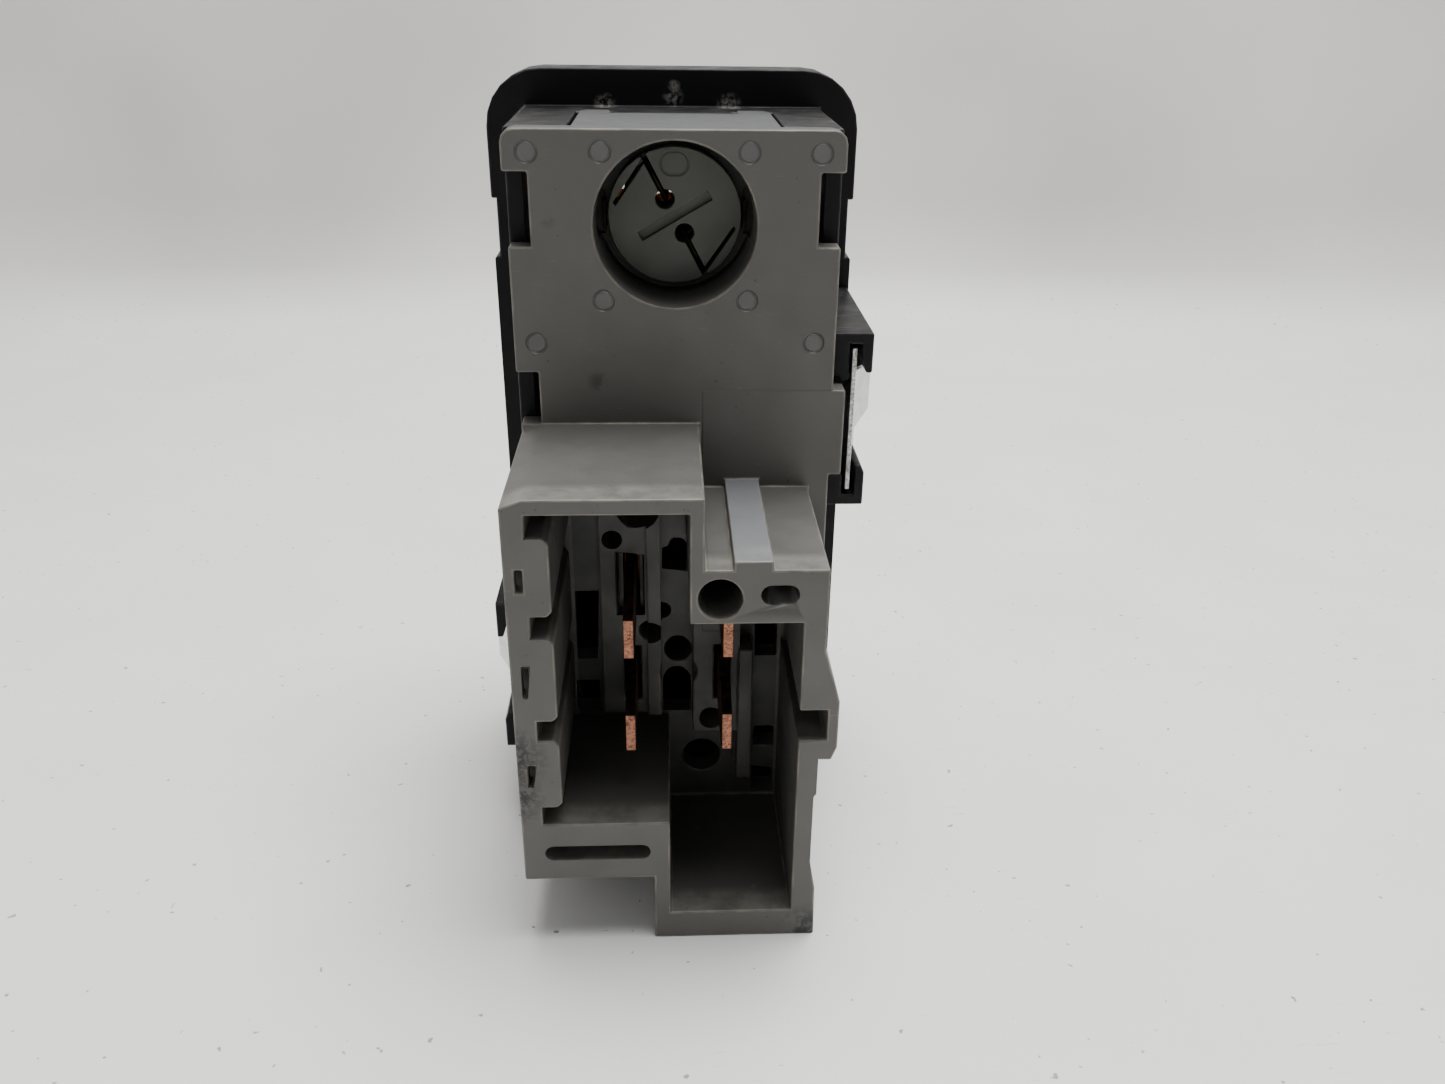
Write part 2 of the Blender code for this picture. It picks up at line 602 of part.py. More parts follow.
def build_terminals():
    copper = make_material("copper_alloy", (0.58, 0.32, 0.2), 0.35, 1.0)
    silver = make_material("silver_contact", (0.8, 0.79, 0.76), 0.25, 1.0)
    foot_back = COVER_THICKNESS + GAP
    foot_front = 3.0
    half_width = 1.6
    for side, label in ((-1, "left"), (1, "right")):
        x = side * COLUMN_X
        left = x - half_width
        right = x + half_width
        for row, height, foot_low, foot_high in (("upper", BLADE_UPPER_Z, -38.2, -29.2),
                                                 ("lower", BLADE_LOWER_Z, -46.5, -38.6)):
            blade = plate_x("blade", blade_outline(height), x - 0.4, x + 0.4)
            terminal = add_part("terminal_%s_%s" % (row, label), blade, copper)
            join(terminal, block("foot", (left, foot_back, foot_low), (right, foot_front, foot_high)))
            if row == "upper":
                cradle_low = (left, foot_front - GAP, PIVOT_Z - 0.5)
                cradle_high = (right, SEESAW_Y - GAP, PIVOT_Z + 0.5)
                join(terminal, block("cradle", cradle_low, cradle_high))
        rivet_z = PIVOT_Z - CONTACT_ARM
        rivet = rod("contact_rivet_" + label, (x, foot_front + GAP, rivet_z), (x, 3.7, rivet_z), 0.9)
        add_part("contact_rivet_" + label, rivet, silver)


def build_lamp_strips():
    """Flat strips that carry the lamp's supply from the upper terminals to the bulb holder."""
    brass = make_material("lamp_strip_brass", (0.6, 0.45, 0.22), 0.35, 1.0)
    back = COVER_THICKNESS + GAP
    riser_inner = 7.35
    riser_outer = 8.0
    for side, label in ((-1, "left"), (1, "right")):
        outline = [(riser_outer, -16.5), (riser_outer, -28.9), (2.2, -28.9), (2.2, -27.4),
                   (6.6, -27.4), (6.6, -16.5)]
        strip = plate_y("flat", [(side * x, z) for x, z in outline], back, 2.9)
        lamp = add_part("lamp_strip_" + label, strip, brass)
        left, right = sorted((side * riser_inner, side * riser_outer))
        join(lamp, block("riser", (left, back, -17.0), (right, 7.2, BORE_Z + 1.3)))


def build_seesaws():
    copper = make_material("copper_seesaw", (0.62, 0.33, 0.2), 0.32, 1.0)
    for side, label in ((-1, "left"), (1, "right")):
        x = side * COLUMN_X
        origin = (x, SEESAW_Y, PIVOT_Z)
        plate = block("plate", (x - 1.6, SEESAW_Y, PIVOT_Z - CONTACT_ARM - 1.0),
                      (x + 1.6, SEESAW_Y + 0.7, PIVOT_Z + 5.5))
        seesaw = add_part("contact_seesaw_" + label, plate, copper, origin)
        contact_z = PIVOT_Z - CONTACT_ARM
        join(seesaw, rod("button", (x, SEESAW_Y - 0.4, contact_z), (x, SEESAW_Y + 0.3, contact_z), 0.9))
        seesaw.rotation_euler.x = math.radians(ROCKER_TRAVEL / 2)


# The rocker.

def rocker_outline():
    """The rocker's side view about its pivot: two faces that slope up to arc-shaped ends, on a thin shell."""
    end_radius = WINDOW_TOP - PIVOT_Z - 0.42
    inner_radius = end_radius - 1.6
    middle_front = 7.5
    face_reach = 27.1
    wall = 2.0
    skirt = 1.0
    hub = 3.4
    hub_back = -1.9
    steps = 4
    slope = math.tan(math.radians(ROCKER_TRAVEL / 2))
    front_y = middle_front + slope * face_reach
    face_angle = math.degrees(math.acos(front_y / end_radius))
    edge_angle = math.degrees(math.acos(skirt / end_radius))
    inner_skirt_angle = math.degrees(math.acos(skirt / inner_radius))
    inner_face_angle = math.degrees(math.acos((front_y - wall) / inner_radius))
    outer_end = arc((0, 0), end_radius, face_angle, edge_angle, steps)
    inner_end = arc((0, 0), inner_radius, inner_skirt_angle, inner_face_angle, steps)
    half = [(middle_front, 0.0)] + outer_end + inner_end
    half += [(middle_front - wall + slope * hub, hub), (hub_back, hub)]
    mirrored = [(y, -z) for y, z in reversed(half[1:])]
    return [(PIVOT_Y + y, PIVOT_Z + z) for y, z in half + mirrored]


def build_rocker():
    black = make_material("black_rocker_abs", BLACK_ABS, 0.35)
    half_width = WINDOW_HALF_WIDTH - 0.45
    origin = (0.0, PIVOT_Y, PIVOT_Z)
    body = plate_x("rocker_body", rocker_outline(), -half_width, half_width)
    rocker = add_part("rocker", body, black, origin)
    for side, label in ((-1, "left"), (1, "right")):
        inner = side * (half_width - OVERSHOOT)
        outer = side * (SLEEVE_HALF_WIDTH - 0.1)
        join(rocker, rod("trunnion_" + label, (inner, PIVOT_Y, PIVOT_Z), (outer, PIVOT_Y, PIVOT_Z),
                         TRUNNION_RADIUS, 24))
        x = side * COLUMN_X
        stem = rod("stem_" + label, (x, 8.3, PIVOT_Z), (x, PIVOT_Y - 1.0, PIVOT_Z), 2.2, 24)
        join(rocker, stem)
        cut(rocker, rod("plunger_bore_" + label, (x, 7.3, PIVOT_Z), (x, 16.6, PIVOT_Z), 1.5, 24))
    cut(rocker, block("lens_window", (-6.3, PIVOT_Y, -18.9), (6.3, PIVOT_Y + 15, -7.1)))
    rocker.rotation_euler.x = math.radians(-ROCKER_TRAVEL / 2)
    add_lens(rocker)
    add_plungers(rocker)
    return rocker


def add_lens(rocker):
    """The lit window: it fills the opening in the rocker's upper half, flush with its sloping face."""
    amber = make_material("amber_lens", (0.75, 0.3, 0.06), 0.15)
    slope = math.tan(math.radians(ROCKER_TRAVEL / 2))
    low = -18.6
    high = -7.4
    face = PIVOT_Y + 7.4
    depth = 2.4
    outline = [(face + slope * (low - PIVOT_Z), low), (face + slope * (high - PIVOT_Z), high),
               (face + slope * (high - PIVOT_Z) - depth, high), (face + slope * (low - PIVOT_Z) - depth, low)]
    lens = plate_x("rocker_lens", outline, -6.0, 6.0)
    add_part("rocker_lens", lens, amber, rocker["origin"], rocker)


def add_plungers(rocker):
    acetal = make_material("natural_acetal", (0.8, 0.78, 0.7), 0.35)
    steel = make_material("spring_steel", (0.6, 0.6, 0.62), 0.3, 1.0)
    for side, label in ((-1, "left"), (1, "right")):
        x = side * COLUMN_X
        tip = SEESAW_Y + 0.7 + GAP
        origin = (x, tip, PIVOT_Z)
        body = rod("plunger_" + label, (x, tip + 1.0, PIVOT_Z), (x, 11.0, PIVOT_Z), 1.35, 20)
        plunger = add_part("plunger_" + label, body, acetal, origin, rocker)
        join(plunger, rod("nose", (x, tip, PIVOT_Z), (x, tip + 1.1, PIVOT_Z), 0.6, 20, 1.35))
        turns = 4
        per_turn = 9
        start = 11.45
        pitch = 1.05
        coil = []
        for step in range(turns * per_turn + 1):
            angle = math.tau * step / per_turn
            along = start + pitch * step / per_turn
            coil.append((x + 1.05 * math.cos(angle), along, PIVOT_Z + 1.05 * math.sin(angle)))
        spring = wire("plunger_spring_" + label, coil, 0.16)
        add_part("plunger_spring_" + label, spring, steel, origin, rocker)


# The side clips.

def build_clips():
    """Bowed sheet-metal springs held between the rails, which grip the edge of the panel's cut-out."""
    steel = make_material("zinc_plated_spring_steel", (0.75, 0.76, 0.76), 0.3, 1.0)
    for side, label, drop in ((1, "right", 0.0), (-1, "left", CLIP_DROP)):
        origin = (side * CLIP_ROOT[0], CLIP_ROOT[1], CLIP_ROOT[2] - drop)
        root = [(14.25, 2.6), (14.25, 7.0), (14.65, 7.0), (14.65, 2.6)]
        plate = plate_z("root", [(side * x, y) for x, y in root], -29.2 - drop, -16.9 - drop)
        clip = add_part("clip_spring_" + label, plate, steel, origin)
        bow = [(14.25, 2.6), (14.25, 4.9), (16.2, 7.3), (16.25, 8.6), (14.3, 15.0), (14.7, 15.2),
               (16.65, 8.7), (16.6, 7.1), (14.65, 4.6), (14.65, 2.6)]
        join(clip, plate_z("bow", [(side * x, y) for x, y in bow], -26.2 - drop, -19.5 - drop))
        corner = [(15.2, -24.7), (17.2, -23.0), (17.2, -27.2), (15.2, -27.2)]
        cut(clip, plate_y("trimmed_corner", [(side * x, z - drop) for x, z in corner], 2.0, 16.0))


build_bezel()
build_cover()
HOLDER = build_holder()
build_bulb(HOLDER)
build_light_tube()
build_terminals()
build_lamp_strips()
build_seesaws()
build_rocker()
build_clips()
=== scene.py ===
import json
import math

import bmesh
import bpy
from bpy.props import FloatProperty, FloatVectorProperty, PointerProperty
from mathutils import Matrix, Vector


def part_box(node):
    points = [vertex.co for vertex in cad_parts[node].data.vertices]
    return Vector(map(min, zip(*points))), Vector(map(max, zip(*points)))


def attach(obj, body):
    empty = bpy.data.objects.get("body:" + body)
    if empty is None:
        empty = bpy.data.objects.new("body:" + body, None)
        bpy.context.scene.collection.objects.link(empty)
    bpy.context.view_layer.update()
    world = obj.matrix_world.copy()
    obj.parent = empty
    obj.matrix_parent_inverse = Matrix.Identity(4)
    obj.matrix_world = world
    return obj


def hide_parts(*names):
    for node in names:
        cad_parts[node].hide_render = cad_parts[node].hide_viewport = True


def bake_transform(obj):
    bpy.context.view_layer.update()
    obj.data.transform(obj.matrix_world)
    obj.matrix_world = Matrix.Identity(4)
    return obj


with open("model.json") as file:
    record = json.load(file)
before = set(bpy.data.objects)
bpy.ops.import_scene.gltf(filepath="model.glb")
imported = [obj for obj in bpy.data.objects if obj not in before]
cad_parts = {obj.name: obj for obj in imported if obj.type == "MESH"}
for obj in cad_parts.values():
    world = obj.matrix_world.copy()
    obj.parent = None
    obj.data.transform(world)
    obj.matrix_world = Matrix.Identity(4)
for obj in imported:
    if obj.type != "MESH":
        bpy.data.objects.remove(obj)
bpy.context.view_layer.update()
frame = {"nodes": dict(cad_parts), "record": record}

bl_info = {
    "name": "Dashboard rocker switch",
    "version": (1, 0, 0),
    "blender": (4, 5, 0),
    "location": "3D View > Sidebar > Rocker Switch",
    "description": "Builds the finished look of an illuminated dashboard rocker switch round its packed frame",
    "category": "Object",
}

MM = 0.001
MOUNTS = {mount["name"]: Vector(mount["pos_m"]) for mount in frame["record"]["mounts"]}
COVER_LOW, COVER_HIGH = (Vector(corner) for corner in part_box("rear_cover"))
BEZEL_LOW = Vector(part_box("front_bezel")[0])

# Places on the switch are given in millimetres from the middle of the cover's rear top edge.
DATUM = Vector((0.0, MOUNTS["cover_back"].y, COVER_HIGH.z))

# The pins that pushed the cover out of its mould, as X and Z of one side, and their radius.
EJECTOR_PINS = ((10.73, -1.62), (5.43, -1.57), (5.45, -12.43), (10.7, -15.72))
EJECTOR_RADIUS = 0.73

# The key on the right block's top, as its span in X.
KEY_RIB = (3.85, 6.75)

# Scrapes on the bezel: centre, reach and grain in millimetres.
BEZEL_SCRAPES = (((0.0, 18.0, 0.7), 1.0, 0.7), ((0.1, 18.0, 1.6), 0.6, 0.5), ((-5.8, 17.8, 0.0), 1.1, 0.4),
                 ((4.8, 17.8, 0.0), 1.2, 0.4))

# The socket's two pockets, as their spans in X and in Z, whose bottom is painted in shade.
SOCKET_POCKETS = (((-8.7, 0.7), (-49.8, -24.0)), ((-0.7, 8.75), (-58.6, -32.3)))

# Stains on the cover: centre, reach and grain in millimetres, colour.
COVER_STAINS = (
    ((-12.7, -14.6, -43.5), 3.2, 0.5, "#120c07"),
    ((-12.7, -15.6, -47.3), 2.8, 0.45, "#120c07"),
    ((-12.8, -15.0, -44.6), 1.6, 0.25, "#1a0f07"),
    ((-12.8, -16.4, -46.2), 0.9, 0.25, "#c9c6bd"),
    ((10.9, -15.6, -61.4), 3.4, 0.9, "#0a0a0a"),
    ((-6.1, 0.0, -18.8), 0.9, 0.9, "#3a3835"),
    ((-9.5, 0.0, -6.4), 0.8, 1.0, "#454340"),
)


def spot(x, y, z):
    """A place on the switch in metres, from millimetres off the datum."""
    return DATUM + Vector((x, y, z)) * MM


def srgb(code):
    """An sRGB hex colour as the linear values that a shader takes."""
    parts = [int(code[start:start + 2], 16) / 255 for start in (1, 3, 5)]
    return tuple(part / 12.92 if part <= 0.04045 else ((part + 0.055) / 1.055) ** 2.4 for part in parts)


# Settings.

class SwitchSettings(bpy.types.PropertyGroup):
    ease_width: FloatProperty(
        name="Moulded edge", description="Rounding of the mouldings' edges",
        default=0.00016, min=0.00005, max=0.0005, precision=5, subtype="DISTANCE", unit="LENGTH")
    cover_colour: FloatVectorProperty(
        name="Cover", description="Colour of the grey polyamide cover",
        default=srgb("#504f4b"), size=3, min=0, max=1, subtype="COLOR")
    # The holder's default colour is darker than its pale polyamide: painted shade of the recess it sits in.
    holder_colour: FloatVectorProperty(
        name="Bulb holder", description="Colour of the bulb holder's polyamide",
        default=srgb("#42443c"), size=3, min=0, max=1, subtype="COLOR")
    bezel_colour: FloatVectorProperty(
        name="Bezel", description="Colour of the black ABS bezel and rocker",
        default=srgb("#0d0d0f"), size=3, min=0, max=1, subtype="COLOR")
    lens_colour: FloatVectorProperty(
        name="Window", description="Colour of the rocker's lit window",
        default=srgb("#c8742a"), size=3, min=0, max=1, subtype="COLOR")


class StageSettings(bpy.types.PropertyGroup):
    key_power: FloatProperty(
        name="Overhead light", description="Power of the large soft light above the switch",
        default=4.6, min=0, subtype="POWER", unit="POWER")
    fill_power: FloatProperty(
        name="Fill light", description="Power of the weak light from the camera's side",
        default=0.15, min=0, subtype="POWER", unit="POWER")
    floor_colour: FloatVectorProperty(
        name="Floor", description="Colour of the pale floor and backdrop",
        default=srgb("#efeeec"), size=3, min=0, max=1, subtype="COLOR")


# Shader nodes.

def add_node(tree, kind, values=None, links=None, **settings):
    """Adds a node, sets its options and unlinked values, and links its inputs to other nodes' outputs."""
    new = tree.nodes.new(kind)
    for option, value in settings.items():
        setattr(new, option, value)
    for socket, value in (values or {}).items():
        new.inputs[socket].default_value = value
    for socket, source in (links or {}).items():
        tree.links.new(source, new.inputs[socket])
    return new


def new_material(name):
    """An empty material: gives it, its tree, its shader and the Object coordinates."""
    material = bpy.data.materials.new(name)
    material.use_nodes = True
    tree = material.node_tree
    shader = tree.nodes["Principled BSDF"]
    places = add_node(tree, "ShaderNodeTexCoord")
    return material, tree, shader, places


def per_metre(size_mm):
    """A texture scale whose features are about the given size in millimetres."""
    return 1.0 / (size_mm * MM)


def noise_at(tree, places, size_mm, detail=2.0, roughness=0.5, stretch=None):
    """Noise whose features are about a size, drawn out where its coordinates are stretched by less than 1."""
    vector = places.outputs["Object"]
    if stretch:
        vector = add_node(tree, "ShaderNodeMapping", {"Scale": stretch}, {"Vector": vector}).outputs["Vector"]
    noise = add_node(tree, "ShaderNodeTexNoise",
                     {"Scale": per_metre(size_mm), "Detail": detail, "Roughness": roughness}, {"Vector": vector})
    return noise.outputs["Fac"]


def window_of(tree, value, low, high, to_low=0.0, to_high=1.0):
    """A value clamped from one range to another."""
    ranged = add_node(tree, "ShaderNodeMapRange",
                      {"From Min": low, "From Max": high, "To Min": to_low, "To Max": to_high}, {"Value": value})
    return ranged.outputs["Result"]


def product(tree, first, second):
    """Two masks multiplied."""
    return add_node(tree, "ShaderNodeMath", None, {0: first, 1: second}, operation="MULTIPLY").outputs[0]


def blend_colours(tree, factor, first, second):
    """Mixes two colours, each a plain colour or another node's output."""
    mix = add_node(tree, "ShaderNodeMix", data_type="RGBA")
    tree.links.new(factor, mix.inputs["Factor"])
    for socket, colour in ((6, first), (7, second)):
        if isinstance(colour, tuple):
            mix.inputs[socket].default_value = (*colour, 1.0)
        else:
            tree.links.new(colour, mix.inputs[socket])
    return mix.outputs[2]


def add_bump(tree, shader, height, depth_mm, strength=1.0):
    """Adds relief to a shader, on top of any relief that it has already."""
    bump = add_node(tree, "ShaderNodeBump", {"Strength": strength, "Distance": depth_mm * MM},
                    {"Height": height})
    for earlier in shader.inputs["Normal"].links:
        tree.links.new(earlier.from_socket, bump.inputs["Normal"])
    tree.links.new(bump.outputs["Normal"], shader.inputs["Normal"])


def maths(tree, operation, first, second=None):
    """A maths node between outputs or plain numbers."""
    node = add_node(tree, "ShaderNodeMath", operation=operation)
    for index, value in enumerate((first, second)):
        if isinstance(value, (int, float)):
            node.inputs[index].default_value = value
        elif value is not None:
            tree.links.new(value, node.inputs[index])
    return node.outputs[0]


def facing(tree, places, axis, start, end):
    """How much a surface faces along one axis, from its own normal."""
    parts = add_node(tree, "ShaderNodeSeparateXYZ", None, {"Vector": places.outputs["Normal"]})
    return window_of(tree, parts.outputs[axis], start, end)


def band(tree, places, axis, low, high, soft_mm=0.05):
    """1 between two positions along an axis, in millimetres from the datum, with soft ends."""
    parts = add_node(tree, "ShaderNodeSeparateXYZ", None, {"Vector": places.outputs["Object"]})
    origin = DATUM["XYZ".index(axis)]
    rise = window_of(tree, parts.outputs[axis], origin + (low - soft_mm) * MM, origin + (low + soft_mm) * MM)
    fall = window_of(tree, parts.outputs[axis], origin + (high + soft_mm) * MM, origin + (high - soft_mm) * MM)
    return product(tree, rise, fall)


def nearness(tree, places, centre, reach_mm, ragged_mm=0.0):
    """1 at a place on the switch, falling to 0 at its reach; a ragged one is broken up by noise."""
    distance = add_node(tree, "ShaderNodeVectorMath", {1: tuple(spot(*centre))}, {0: places.outputs["Object"]},
                        operation="DISTANCE").outputs["Value"]
    near = window_of(tree, distance, reach_mm * MM, reach_mm * 0.35 * MM)
    if ragged_mm:
        near = product(tree, near, window_of(tree, noise_at(tree, places, ragged_mm, 4.0, 0.65), 0.42, 0.54))
    return near


# Materials.

def ejector_marks(tree, places, pins, radius, low, high):
    """Shallow dishes that the mould's ejector pins left on a face between two depths, on both sides alike."""
    folded = add_node(tree, "ShaderNodeVectorMath", None, {0: places.outputs["Object"]}, operation="ABSOLUTE")
    flat = add_node(tree, "ShaderNodeVectorMath", {1: (1.0, 0.0, 1.0)}, {0: folded.outputs["Vector"]},
                    operation="MULTIPLY")
    marks = None
    for x, z in pins:
        centre = spot(x, 0, z)
        distance = add_node(tree, "ShaderNodeVectorMath", {1: (centre.x, 0.0, centre.z)},
                            {0: flat.outputs["Vector"]}, operation="DISTANCE").outputs["Value"]
        off_line = maths(tree, "ABSOLUTE", maths(tree, "SUBTRACT", distance, radius * MM))
        line = window_of(tree, off_line, 0.14 * MM, 0.03 * MM)
        dish = window_of(tree, distance, radius * MM, (radius - 0.12) * MM, 0.0, 0.6)
        mark = maths(tree, "MAXIMUM", line, dish)
        marks = mark if marks is None else maths(tree, "MAXIMUM", marks, mark)
    return product(tree, marks, band(tree, places, "Y", low, high))


def holder_details(tree, shader, places, base):
    """The holder's face carries one ejector pin's dish beside its slots, its rim darkened with painted shade."""
    ring = ejector_marks(tree, places, ((0.2, -2.95),), 0.85, 4.2, 5.2)
    add_bump(tree, shader, maths(tree, "MULTIPLY", ring, -1.0), 0.08, 0.8)
    # Painted shade darkens the dish's rim.
    return blend_colours(tree, window_of(tree, ring, 0.6, 1.0, 0.0, 0.4), base, srgb("#23241f"))


def grey_polyamide(name, colour, edge_colour, grime=1.0, details=None):
    """Injection-moulded polyamide 6: a dry satin skin with a fine grain, and a piece's own details on it."""
    material, tree, shader, places = new_material(name)
    # Slow colour drift across the moulding, as the pigment flowed.
    drift = window_of(tree, noise_at(tree, places, 9.0, 3.0), 0.3, 0.7, 0.0, 0.35)
    base = blend_colours(tree, drift, tuple(colour), tuple(part * 0.86 for part in colour))
    # Paler, warmer edges where the skin has been rubbed, plus painted light standing for light through the thin
    # rim and a painted edge highlight.
    eased = add_node(tree, "ShaderNodeAttribute", attribute_name="eased")
    worn_and_lit_edges = window_of(tree, noise_at(tree, places, 2.2, 3.0), 0.38, 0.66, 0.05, 0.75)
    base = blend_colours(tree, product(tree, eased.outputs["Fac"], worn_and_lit_edges), base, edge_colour)
    # Thin scuffs across the flats, lighter than the skin.
    scuff = window_of(tree, noise_at(tree, places, 0.5, 4.0, 0.6, (0.35, 0.5, 2.6)), 0.66, 0.76, 0.0, 0.3)
    base = blend_colours(tree, scuff, base, srgb("#74726b"))
    # Grime specks of a few tenths of a millimetre.
    specks = window_of(tree, noise_at(tree, places, 0.42, 1.0), 0.735, 0.77, 0.0, 0.75 * grime)
    patch = window_of(tree, noise_at(tree, places, 6.0, 1.0), 0.45, 0.62)
    base = blend_colours(tree, product(tree, specks, patch), base, srgb("#24221e"))
    # Gloss varies where fingers and the mould's polish changed the grain.
    gloss = window_of(tree, noise_at(tree, places, 3.0, 3.0), 0.3, 0.7, 0.42, 0.58)
    tree.links.new(gloss, shader.inputs["Roughness"])
    shader.inputs["IOR"].default_value = 1.53
    if details:
        base = details(tree, shader, places, base)
    # Spark-eroded mould grain, about a tenth of a millimetre, drawn twice as coarse so that it shows.
    add_bump(tree, shader, noise_at(tree, places, 0.2, 2.0), 0.006, 0.6)
    tree.links.new(base, shader.inputs["Base Color"])
    return material


def cover_details(tree, shader, places, base):
    """What the mould and the years left on the cover: pin marks, a seam, rubbed lips and dirt; with painted
    shade at the socket's bottom, on the tongue and along the pin marks' rims.
    """
    # The ejector pins' dishes are a shade bluer than the skin, with a darker rim of painted shade along the
    # dish's edge.
    rings = ejector_marks(tree, places, EJECTOR_PINS, EJECTOR_RADIUS, -0.4, 0.4)
    base = blend_colours(tree, window_of(tree, rings, 0.0, 0.6, 0.0, 0.14), base, srgb("#6f7175"))
    base = blend_colours(tree, window_of(tree, rings, 0.6, 1.0, 0.0, 0.5), base, srgb("#242321"))
    # A mould insert's edge runs across the back, a few hundredths of a millimetre high.
    insert = product(tree, band(tree, places, "X", 2.1, 14.0), band(tree, places, "Z", -40.0, -19.6))
    relief = maths(tree, "ADD", maths(tree, "MULTIPLY", rings, -1.0), maths(tree, "MULTIPLY", insert, 0.25))
    add_bump(tree, shader, relief, 0.14, 1.0)
    # The bottom of the socket is painted dark as shade, broken up by noise.
    left, right = (product(tree, band(tree, places, "X", *across), band(tree, places, "Z", *rise))
                   for across, rise in SOCKET_POCKETS)
    bottom = product(tree, facing(tree, places, "Y", -0.6, -0.9), band(tree, places, "Y", -12.0, 3.0))
    pocket_bottom_shade = product(tree, maths(tree, "MAXIMUM", left, right), bottom)
    pocket_shade_breakup = window_of(tree, noise_at(tree, places, 2.5, 3.0), 0.3, 0.7, 0.5, 0.8)
    base = blend_colours(tree, product(tree, pocket_bottom_shade, pocket_shade_breakup), base, srgb("#1d1c1b"))
    # The hood's lip is rubbed paler where plugs have slid over it.
    up = facing(tree, places, "Z", 0.5, 0.9)
    lip = product(tree, up, band(tree, places, "Y", -18.0, -12.9, 0.5))
    worn = window_of(tree, noise_at(tree, places, 1.6, 4.0, 0.65), 0.35, 0.62, 0.15, 0.55)
    base = blend_colours(tree, product(tree, lip, worn), base, srgb("#7c7a73"))
    # The tongue that reaches into the sleeve is painted darker as shade under the bezel, tinted as a bluish
    # painted reflection.
    tongue = product(tree, band(tree, places, "Y", 0.4, 14.5, 0.2), band(tree, places, "Z", -1.5, 0.5))
    base = blend_colours(tree, maths(tree, "MULTIPLY", product(tree, tongue, up), 0.75), base, srgb("#2f3236"))
    # The key on top of the right block is paler and bluer than the rest.
    key = product(tree, band(tree, places, "X", *KEY_RIB), band(tree, places, "Z", -27.9, -26.8))
    base = blend_colours(tree, maths(tree, "MULTIPLY", product(tree, key, up), 0.45), base, srgb("#83858b"))
    # Dirt along the left wall's broken edge, oil at the foot and a thumb smudge on the back.
    for centre, reach, ragged, code in COVER_STAINS:
        base = blend_colours(tree, nearness(tree, places, centre, reach, ragged), base, srgb(code))
    return base


def black_abs(name, colour, dust=1.0, gloss=0.38):
    """Injection-moulded black ABS with dust in its grain."""
    material, tree, shader, places = new_material(name)
    base = blend_colours(tree, window_of(tree, noise_at(tree, places, 5.0, 2.0), 0.35, 0.7), tuple(colour),
                         tuple(part * 1.4 for part in colour))
    # Edges are worn to a slightly greyer black, which is also a painted highlight along the rims.
    eased = add_node(tree, "ShaderNodeAttribute", attribute_name="eased")
    worn_and_lit_edges = window_of(tree, noise_at(tree, places, 1.5, 3.0), 0.35, 0.65, 0.1, 0.8)
    base = blend_colours(tree, product(tree, eased.outputs["Fac"], worn_and_lit_edges), base, srgb("#2e2e33"))
    # Pale dust lies on what faces up, thicker in patches.
    up = facing(tree, places, "Z", 0.55, 0.95)
    cloud = window_of(tree, noise_at(tree, places, 2.4, 5.0, 0.7), 0.45, 0.8, 0.0, 0.3 * dust)
    base = blend_colours(tree, product(tree, up, cloud), base, srgb("#56544f"))
    # Hairline scratches that run across the top.
    hair = window_of(tree, noise_at(tree, places, 0.3, 3.0, 0.5, (0.1, 1.6, 1.6)), 0.64, 0.74, 0.0, 0.7 * dust)
    base = blend_colours(tree, product(tree, up, hair), base, srgb("#7d7b78"))
    # Pale scrapes above the sleeve, where a tool has slipped against the flange.
    for centre, reach, grain in BEZEL_SCRAPES:
        base = blend_colours(tree, nearness(tree, places, centre, reach, grain), base, srgb("#75726e"))
    tree.links.new(base, shader.inputs["Base Color"])
    rough = window_of(tree, noise_at(tree, places, 2.2, 3.0), 0.3, 0.7, gloss, gloss + 0.16)
    tree.links.new(rough, shader.inputs["Roughness"])
    shader.inputs["IOR"].default_value = 1.54
    # The grain breaks up most of the sheen.
    shader.inputs["Specular IOR Level"].default_value = 0.14
    # A fine leather-like mould grain of 0.15 mm.
    add_bump(tree, shader, noise_at(tree, places, 0.15, 2.0), 0.006, 0.5)
    return material


def plain_polymer(name, colour, roughness, ior=1.49, passes_light=0.0):
    """A clean moulded plastic, such as acetal or acrylic."""
    material, tree, shader, places = new_material(name)
    base = blend_colours(tree, window_of(tree, noise_at(tree, places, 3.0), 0.35, 0.7), colour,
                         tuple(part * 0.88 for part in colour))
    tree.links.new(base, shader.inputs["Base Color"])
    rough = window_of(tree, noise_at(tree, places, 1.4, 3.0), 0.3, 0.7, roughness, roughness + 0.1)
    tree.links.new(rough, shader.inputs["Roughness"])
    shader.inputs["IOR"].default_value = ior
    shader.inputs["Transmission Weight"].default_value = passes_light
    # Flow ripple left by the mould.
    add_bump(tree, shader, noise_at(tree, places, 0.8, 2.0), 0.004, 0.4)
    return material


